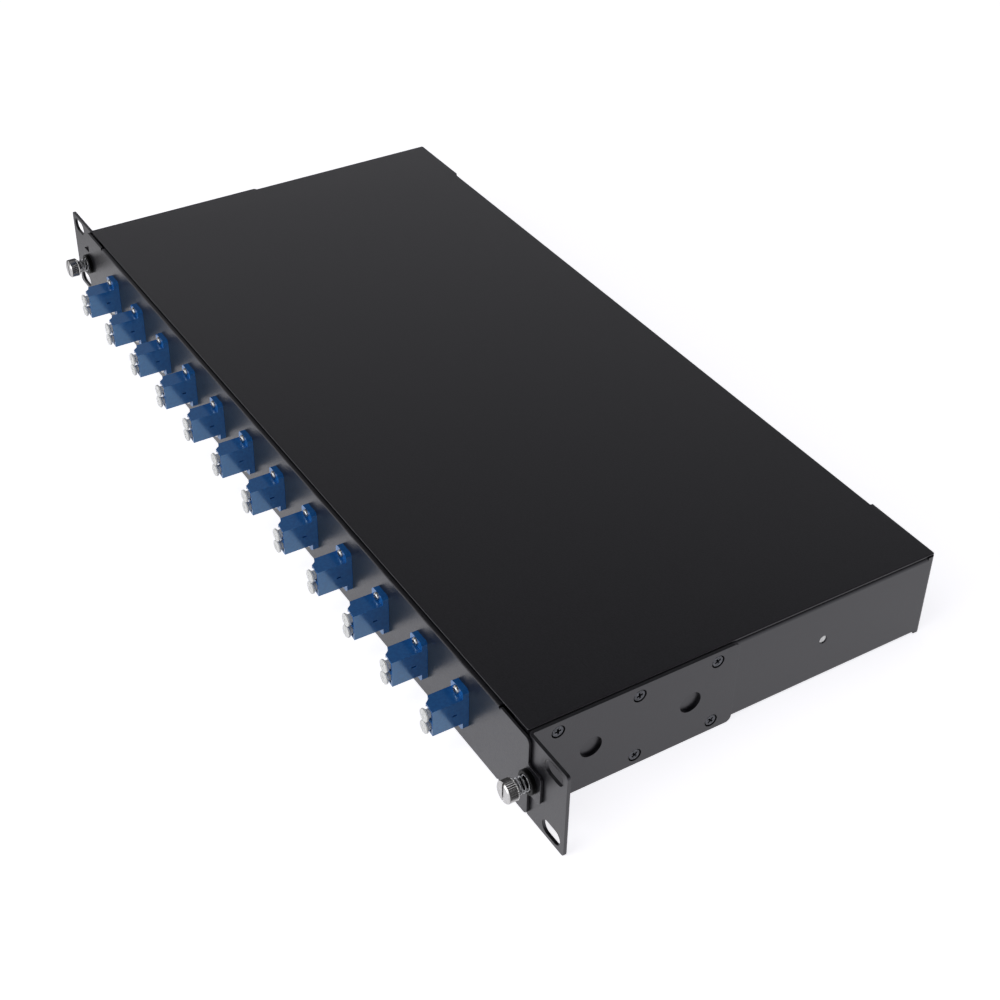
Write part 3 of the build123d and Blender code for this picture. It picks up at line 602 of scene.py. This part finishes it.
def adapterShape():
    low, high = nodeBox(adapterNames[0])
    middle = (low + high) / 2
    z = middle.z
    bm = bmesh.new()
    nose = [(x, low.y + back) for x, back in adapter["noseSteps"]]
    tail = [(x, high.y - back) for x, back in reversed(adapter["noseSteps"])]
    base = bm.faces.new([bm.verts.new((x, y, z - adapter["height"] / 2)) for x, y in nose + tail])
    raised(bm, [base], adapter["height"])
    flange = bmesh.new()
    half = (high.x - low.x) / 2
    roundedBlock(flange, (-half, adapter["flangeFront"], z - adapter["flangeHeight"] / 2),
                 (half, adapter["flangeRear"], z + adapter["flangeHeight"] / 2))
    # the edges that run through the flange from front to rear are its four corners
    thick = adapter["flangeRear"] - adapter["flangeFront"]
    corners = [e for e in flange.edges if abs((e.verts[0].co - e.verts[1].co).y) > thick / 2]
    bmesh.ops.bevel(flange, geom=corners, offset=adapter["flangeCorner"], offset_type="OFFSET",
                    affect="EDGES", segments=1, profile=0.5, material=-1)
    bm = combined(bm, flange, "UNION")
    # ports and latch channels from both ends up to the divider, and the bores through it
    cuts = bmesh.new()
    portX, bore = adapter["portX"], adapter["boreHalf"]
    port = adapter["portSize"] / 2
    channel = adapter["channelWidth"] / 2
    wall = (low.y + high.y) / 2
    frontEnd, rearEnd = wall - adapter["dividerHalf"], wall + adapter["dividerHalf"]
    for side in (-1, 1):
        middleZ = z + side * adapter["portZ"]
        for first, last in ((low.y - past, frontEnd), (rearEnd, high.y + past)):
            roundedBlock(cuts, (portX - port, first, middleZ - port), (portX + port, last, middleZ + port))
            roundedBlock(cuts, (adapter["channelX"], first, middleZ - channel),
                         (portX, last, middleZ + channel))
        roundedBlock(cuts, (portX - bore, wall - adapter["boreReach"], middleZ - bore),
                     (portX + bore, wall + adapter["boreReach"], middleZ + bore))
    first, last, bottom, top = adapter["slit"]
    roundedBlock(cuts, (half - adapter["slitDepth"], first, z + bottom), (half + past, last, z + top))
    bm = combined(bm, cuts)
    faceOut(bm)
    bmesh.ops.dissolve_limit(bm, angle_limit=math.radians(1), verts=bm.verts[:], edges=bm.edges[:])
    softenEdges(bm, adapter["rim"], angle=25)
    return asMesh(bm)


housing = adapterShape()
for n, name in enumerate(adapterNames):
    bm = bmesh.new()
    addCopy(bm, housing, Matrix.Translation((middleOf(name).x, 0, 0)))
    ridden(bm, f"adapterHousing{n + 1:02d}", name)
print("adapters made")

# Dust caps: a square plug for the port, a neck and a round disc to pull

cap = {"plug": 4.3, "plugFront": -16.4, "plugRim": 0.3, "neck": 1.95, "neckEnd": -5.6, "disc": 2.94,
       "discThick": 1.1, "edge": 0.25, "faceEdge": 0.2, "dimple": 0.8, "dimpleDepth": 0.4, "setBack": 1.3}
low, high = nodeBox("dust_caps_01")
radius, under, edge = cap["disc"], -cap["discThick"], cap["edge"]
discProfile = [(0, -cap["dimpleDepth"]), (cap["dimple"] - edge, -cap["dimpleDepth"]), (cap["dimple"], 0),
               (radius - edge, 0), (radius, -cap["faceEdge"]), (radius, under + edge),
               (radius - edge, under), (cap["neck"] + edge, under), (cap["neck"], under - edge),
               (cap["neck"], cap["neckEnd"]), (0, cap["neckEnd"])]
disc = turned(discProfile, steps=36)
bmesh.ops.transform(disc, matrix=towards("front", (0, low.y + cap["setBack"], 0)), verts=disc.verts[:])
plug = bmesh.new()
half = cap["plug"] / 2
roundedBlock(plug, (-half, cap["plugFront"], -half), (half, high.y, half), cap["plugRim"])
disc = combined(disc, plug, "UNION")
faceOut(disc)
oneCap = asMesh(disc)
for n, name in enumerate(adapterNames):
    bm = bmesh.new()
    x = middleOf(name).x + adapter["portX"]
    for side in (-1, 1):
        addCopy(bm, oneCap, Matrix.Translation((x, 0, panelZ + side * adapter["portZ"])))
    ridden(bm, f"capPair{n + 1:02d}", f"dust_caps_{n + 1:02d}", sharp=40)
print("dust caps made")

# Captive thumbscrews: knurled head with a slot, neck and thread. A known fault: each extrusion leaves
# its old face inside the head, and the union then loses the neck and thread; deleting those faces,
# all but the first, would bring them back, but that is not done here

screw = {"head": 4.75, "headLength": 5.0, "chamfer": 0.55, "footChamfer": 0.4, "plainRim": 0.45,
         "knurlFrom": 0.75, "knurls": 32, "knurlDepth": 0.5, "toothWidth": 0.7, "pointsPerTooth": 4,
         "neck": 1.5, "intoHead": 0.5, "thread": 2.0, "threadRoot": 1.72, "rootFlat": 0.1, "pitch": 0.7,
         "threadStart": -15.5, "slotWidth": 1.0, "slotDepth": 1.3, "slotTurn": {"right": 0.0, "left": 12.0}}


def knurledHead():
    # rings of the head from its face down: (radius, how deep the knurl is cut there, height)
    head, foot = screw["head"], -screw["headLength"]
    rings = [(head - screw["chamfer"], 0, 0), (head, 0, -screw["plainRim"]),
             (head, screw["knurlDepth"], -screw["knurlFrom"]),
             (head, screw["knurlDepth"], foot + screw["knurlFrom"]),
             (head, 0, foot + screw["plainRim"]), (head - screw["footChamfer"], 0, foot)]
    bm = bmesh.new()
    count = screw["pointsPerTooth"] * screw["knurls"]
    bmesh.ops.create_circle(bm, cap_ends=True, segments=count, radius=rings[0][0])
    face = bm.faces[:][0]
    for n, (radius, cut, level) in enumerate(rings):
        if n:
            moved = bmesh.ops.extrude_face_region(bm, geom=[face])["geom"]
            face = [g for g in moved if isinstance(g, bmesh.types.BMFace)][0]
        for v in face.verts:
            angle = math.atan2(v.co.y, v.co.x)
            tooth = (0.5 + 0.5 * math.cos(screw["knurls"] * angle)) ** screw["toothWidth"]
            away = radius - cut * (1 - tooth)
            v.co = Vector((away * math.cos(angle), away * math.sin(angle), level))
    bmesh.ops.recalc_face_normals(bm, faces=bm.faces[:])
    return bm


def threadedShank(length):
    # a plain neck that starts inside the head, then the thread as a row of ridges
    start = screw["intoHead"] - screw["headLength"]
    profile = [(0, start), (screw["neck"], start), (screw["neck"], screw["threadStart"])]
    height = screw["threadStart"]
    while height - screw["pitch"] > -length:
        profile += [(screw["threadRoot"], height - screw["rootFlat"]),
                    (screw["thread"], height - screw["pitch"] / 2)]
        height -= screw["pitch"]
    profile += [(screw["threadRoot"], -length), (0, -length)]
    return turned(profile, steps=28)


for side in ("right", "left"):
    low, high = nodeBox(f"thumbscrew_{side}")
    place = (low + high) / 2
    bm = combined(knurledHead(), threadedShank(high.y - low.y), "UNION")
    slot = bmesh.new()
    roundedBlock(slot, (-screw["slotWidth"] / 2, -2 * screw["head"], -screw["slotDepth"]),
                 (screw["slotWidth"] / 2, 2 * screw["head"], past))
    bm = combined(bm, slot)
    bmesh.ops.recalc_face_normals(bm, faces=bm.faces[:])
    seat = towards("front", (place.x, low.y, place.z), screw["slotTurn"][side])
    bmesh.ops.transform(bm, matrix=seat, verts=bm.verts[:])
    ridden(bm, f"thumbscrew{side.capitalize()}", f"thumbscrew_{side}", sharp=30)
print("thumbscrews made")

# Springs: wound wire with closed ends, squeezed between head and collar when the screw goes in

spring = {"wire": 0.7, "outer": 3.5, "turns": 4.0, "endTurns": 0.5, "stepsPerTurn": 24, "wireRoundness": 3}


def springPoints(low, high):
    # points along the middle of the wire; the ends rise by one wire a turn, so they lie closed
    place = (low + high) / 2
    wire = spring["wire"]
    radius = spring["outer"] - wire / 2
    first, last = low.y + wire / 2, high.y - wire / 2
    closedRise = wire * spring["endTurns"]
    openTurns = spring["turns"] - 2 * spring["endTurns"]
    openRise = (last - first - 2 * closedRise) / openTurns
    count = int(spring["turns"] * spring["stepsPerTurn"])
    points = []
    for n in range(count + 1):
        turn = n / spring["stepsPerTurn"]
        atEnd = min(turn, spring["endTurns"]) + max(0, turn - spring["turns"] + spring["endTurns"])
        y = first + atEnd * wire + (turn - atEnd) * openRise
        angle = 2 * math.pi * turn
        points.append((place.x + radius * math.cos(angle), y, place.z + radius * math.sin(angle)))
    return points


for side in ("right", "left"):
    node = f"thumbscrew_spring_{side}"
    low, high = nodeBox(node)
    points = springPoints(low, high)
    wire = bpy.data.curves.new("wire", "CURVE")
    wire.dimensions = "3D"
    wire.bevel_depth = spring["wire"] / 2
    wire.bevel_resolution = spring["wireRoundness"]
    wire.use_fill_caps = True
    line = wire.splines.new("POLY")
    line.points.add(len(points) - 1)
    for point, co in zip(line.points, points):
        point.co = (*co, 1)
    holder = bpy.data.objects.new("wire", wire)
    bpy.context.scene.collection.objects.link(holder)
    bpy.context.view_layer.update()
    coil = bpy.data.meshes.new_from_object(holder.evaluated_get(bpy.context.evaluated_depsgraph_get()))
    bpy.data.objects.remove(holder)
    bm = bmesh.new()
    bm.from_mesh(coil)
    bmesh.ops.remove_doubles(bm, verts=bm.verts[:], dist=mergeGap)
    faceOut(bm)
    piece = finishPiece(bm, f"coilSpring{side.capitalize()}", node, sharp=40)
    place = (low + high) / 2
    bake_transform(piece)
print("springs made")

# Collars, grommets and rivets are turned parts, drawn pointing up with their top at zero

# depths are measured down from the collar's face, and the groove is (depth, radius cut off) pairs
collar = {"outer": 5.2, "edge": 0.25, "groove": ((0.75, 0), (0.85, 0.25), (1.05, 0.25), (1.15, 0)),
          "height": 2.0, "pocket": 3.75, "pocketEdge": 0.15, "pocketDepth": 1.6, "lip": 1.7, "lipEnd": 2.6,
          "spigot": 3.2, "bore": 2.1, "end": 3.2}
outer, spigot, bore = collar["outer"], collar["spigot"], collar["bore"]
profile = [(collar["pocket"] + collar["pocketEdge"], 0), (outer - collar["edge"], 0),
           (outer, -collar["edge"])]
profile += [(outer - cut, -depth) for depth, cut in collar["groove"]]
profile += [(outer, -collar["height"]), (spigot, -collar["height"]), (spigot, -collar["end"]),
            (bore, -collar["end"]), (bore, -collar["lipEnd"]), (collar["lip"], -collar["lipEnd"]),
            (collar["lip"], -collar["pocketDepth"]), (collar["pocket"], -collar["pocketDepth"]),
            (collar["pocket"], -collar["pocketEdge"])]
oneCollar = asMesh(turned(profile, steps=48, closed=True))
low, high = nodeBox("thumbscrew_collars")
bm = bmesh.new()
for side in (-1, 1):
    addCopy(bm, oneCollar, towards("front", (side * thumbPlace.x, low.y, thumbPlace.z)))
ridden(bm, "collarRings", "thumbscrew_collars", sharp=30)

# the groove holds the rear wall, whose thickness is panel; the shoulder is the middle point of each round
grommet = {"outer": 12.45, "groove": 10.25, "bore": 6.5, "panel": 1.2, "round": 0.7,
           "shoulder": (0.2, 0.35)}
low, high = nodeBox("cable_grommets")
thick = high.y - low.y
outer, groove, bore, edge = grommet["outer"], grommet["groove"], grommet["bore"], grommet["round"]
inset, drop = (share * edge for share in grommet["shoulder"])
lipDepth = (thick - grommet["panel"]) / 2
rim = [(bore + edge, 0), (outer - edge, 0), (outer - inset, -drop), (outer, -edge), (outer, -lipDepth),
       (groove, -lipDepth)]
profile = rim + [(radius, -thick - height) for radius, height in reversed(rim)]
profile += [(bore + inset, -thick + drop), (bore, -thick + edge), (bore, -edge), (bore + inset, -drop)]
ring = asMesh(turned(profile, steps=64, closed=True))
bm = bmesh.new()
for side in (-1, 1):
    spot = (side * (high.x - outer), high.y, (low.z + high.z) / 2)
    addCopy(bm, ring, towards("rear", spot))
ridden(bm, "cableGrommets", "cable_grommets", sharp=60)


def domeProfile(radius, height, shank, length, steps=6):
    # a low dome on a shank, its top at zero
    angles = [n * math.pi / 2 / steps for n in range(steps + 1)]
    arc = [(radius * math.sin(angle), height * math.cos(angle) - height) for angle in angles]
    return arc + [(shank, -height), (shank, -height - length), (0, -height - length)]


# the wall rivets' tails close in the side walls and their heads lie on the runners' webs;
# mouth is the hollow in the tail's end, from its middle out
rivet = {"head": 2.8, "headEdge": 0.3, "headRise": 0.8, "height": 1.0, "shank": 1.6, "rearLength": 2.4,
         "rearX": 194.0, "rearZ": 11.0, "wallY": (50.4, 142.9), "web": 212.3, "sink": 0.12,
         "mouth": ((0, -0.18), (0.7, -0.1), (1.2, 0)), "tail": 1.8, "tailEdge": 0.05, "tailTaper": 0.1,
         "spread": 0.35}
profile = domeProfile(rivet["head"], rivet["height"], rivet["shank"], rivet["rearLength"])
dome = asMesh(turned(profile, steps=32))
low, high = nodeBox("rear_rivets")
place = (low + high) / 2
bm = bmesh.new()
for x in (-rivet["rearX"], rivet["rearX"]):
    for z in (-rivet["rearZ"], rivet["rearZ"]):
        addCopy(bm, dome, towards("rear", (x, high.y, place.z + z)))
ridden(bm, "rearWallRivets", "rear_rivets", sharp=60)

low, high = nodeBox("runner_outer_rivets")
tailEnd = high.x - rivet["sink"]
web = rivet["web"] - tailEnd
profile = [*rivet["mouth"], (rivet["tail"], -rivet["tailEdge"]),
           (rivet["tail"] - rivet["tailEdge"], -rivet["spread"]),
           (rivet["shank"], -rivet["spread"] - rivet["tailTaper"]),
           (rivet["shank"], web), (rivet["head"], web),
           (rivet["head"] - rivet["headEdge"], web - rivet["headRise"]), (0, web - rivet["height"])]
wallRivet = asMesh(turned(profile, steps=32))
bm = bmesh.new()
for y in rivet["wallY"]:
    addCopy(bm, wallRivet, towards("right", (tailEnd, y, 0)))
    addCopy(bm, wallRivet, towards("left", (-tailEnd, y, 0)))
ridden(bm, "runnerRivets", "runner_outer_rivets", sharp=40)
print("collars, grommets and rivets made")

# Floor, light and camera

# in metres and watts; the sky is (height of the direction, brightness) from the horizon to the ceiling
studio = {"floorSize": 12.0, "floorGap": 0.0002, "floorColour": "#e6e6e6", "floorLift": 0.8,
          # painted shade: where the paper's glow, seen in reflections, starts and stops dimming past its
          # left end, and how dim it gets
          "paintedShadeFrom": -0.21, "paintedShadeTo": -0.32, "paintedShadeShare": 0.3,
          "paper": (0.97, 0.965, 1.0), "sky": ((0.1, 1.0), (0.42, 0.44), (0.75, 0.07)),
          "keyLight": {"place": (0.15, -0.7, 1.3), "target": (0, 0.05, 0), "size": (1.0, 1.0),
                       "watts": 3.5},
          "fillLight": {"place": (0.1, -1.5, 0.4), "target": (0, 0, 0), "size": (1.2, 0.8),
                        "watts": 9.0}}
bm = bmesh.new()
bmesh.ops.create_grid(bm, x_segments=1, y_segments=1, size=studio["floorSize"] / 2,
                      matrix=Matrix.Translation((0, 0, cadBox[0][2] - studio["floorGap"])))
floorMesh = asMesh(bm, "studioFloor")
floor = bpy.data.objects.new("studioFloor", floorMesh)
bpy.context.scene.collection.objects.link(floor)

# matt white paper; the lift makes it read as white to the eye and in reflections, and its shadow stays
paper = bpy.data.materials.new("whitePaper")
paper.use_nodes = True
tree = paper.node_tree
tree.nodes.clear()
rays = addNode(tree, "ShaderNodeLightPath").outputs
seen = addNode(tree, "ShaderNodeMath", {"operation": "MAXIMUM"},
               {0: rays["Is Camera Ray"], 1: rays["Is Glossy Ray"]}).outputs[0]
seen = addNode(tree, "ShaderNodeMath", {"operation": "MAXIMUM"},
               {0: seen, 1: rays["Is Transmission Ray"]}).outputs[0]
lift = addNode(tree, "ShaderNodeMath", {"operation": "MULTIPLY"},
               {0: seen, 1: studio["floorLift"]}).outputs[0]
# painted shade in reflections: past the left end the paper's glow grows dimmer for reflections only; the
# eye still sees it white
spot = addNode(tree, "ShaderNodeTexCoord").outputs["Object"]
across = addNode(tree, "ShaderNodeSeparateXYZ", inputs={"Vector": spot}).outputs["X"]
share = addNode(tree, "ShaderNodeMapRange", inputs={
    "Value": across, "From Min": studio["paintedShadeTo"], "From Max": studio["paintedShadeFrom"],
    "To Min": studio["paintedShadeShare"], "To Max": 1.0}).outputs["Result"]
share = addNode(tree, "ShaderNodeMath", {"operation": "MAXIMUM"},
                {0: share, 1: rays["Is Camera Ray"]}).outputs[0]
lift = addNode(tree, "ShaderNodeMath", {"operation": "MULTIPLY"}, {0: lift, 1: share}).outputs[0]
diffuse = addNode(tree, "ShaderNodeBsdfDiffuse", inputs={"Color": fromHex(studio["floorColour"])})
glow = addNode(tree, "ShaderNodeEmission", inputs={"Color": (*studio["paper"], 1), "Strength": lift})
both = addNode(tree, "ShaderNodeAddShader", inputs={0: diffuse.outputs[0], 1: glow.outputs[0]})
addNode(tree, "ShaderNodeOutputMaterial", inputs={"Surface": both.outputs[0]})
floorMesh.materials.append(paper)

# white low down like the backdrop, dimmer towards the ceiling, and plain white to the eye
world = bpy.data.worlds.new("softStudio")
bpy.context.scene.world = world
world.use_nodes = True
tree = world.node_tree
tree.nodes.clear()
direction = addNode(tree, "ShaderNodeTexCoord").outputs["Generated"]
height = addNode(tree, "ShaderNodeSeparateXYZ", inputs={"Vector": direction}).outputs["Z"]
sky = addNode(tree, "ShaderNodeValToRGB", inputs={"Fac": height})
stops = sky.color_ramp.elements
stops.new(0.5)
for stop, (position, brightness) in zip(stops, studio["sky"]):
    stop.position = position
    stop.color = (*(brightness * c for c in studio["paper"]), 1)
rays = addNode(tree, "ShaderNodeLightPath").outputs
# inputs 0, 6 and 7 of a colour mix are its factor and its two colours, and output 2 is the colour
mixed = addNode(tree, "ShaderNodeMix", {"data_type": "RGBA"},
                {0: rays["Is Camera Ray"], 6: sky.outputs["Color"], 7: (1, 1, 1, 1)})
back = addNode(tree, "ShaderNodeBackground", inputs={"Color": mixed.outputs[2], "Strength": 1.0})
addNode(tree, "ShaderNodeOutputWorld", inputs={"Surface": back.outputs[0]})


def softBox(name, place, target, size, watts):
    # a rectangular area light that faces its target
    data = bpy.data.lights.new(name, "AREA")
    data.shape = "RECTANGLE"
    data.size, data.size_y = size
    data.energy = watts
    lamp = bpy.data.objects.new(name, data)
    lamp.location = place
    lamp.rotation_euler = (Vector(target) - Vector(place)).to_track_quat("-Z", "Y").to_euler()
    bpy.context.scene.collection.objects.link(lamp)


for name in ("keyLight", "fillLight"):
    softBox(name, **studio[name])

# solved from the photo, in metres, degrees and millimetres
camera = {"place": (0.59731, -0.26163, 0.48759), "turn": (52.202, -1.086, 58.156), "lens": 63.829,
          "near": 0.01, "far": 50}
cameraData = bpy.data.cameras.new("photoCamera")
cameraData.lens = camera["lens"]
cameraData.clip_start = camera["near"]
cameraData.clip_end = camera["far"]
photoCamera = bpy.data.objects.new("photoCamera", cameraData)
photoCamera.location = camera["place"]
photoCamera.rotation_euler = [math.radians(angle) for angle in camera["turn"]]
bpy.context.scene.collection.objects.link(photoCamera)
bpy.context.scene.camera = photoCamera
bpy.context.scene.view_settings.view_transform = "Standard"
print("studio made")
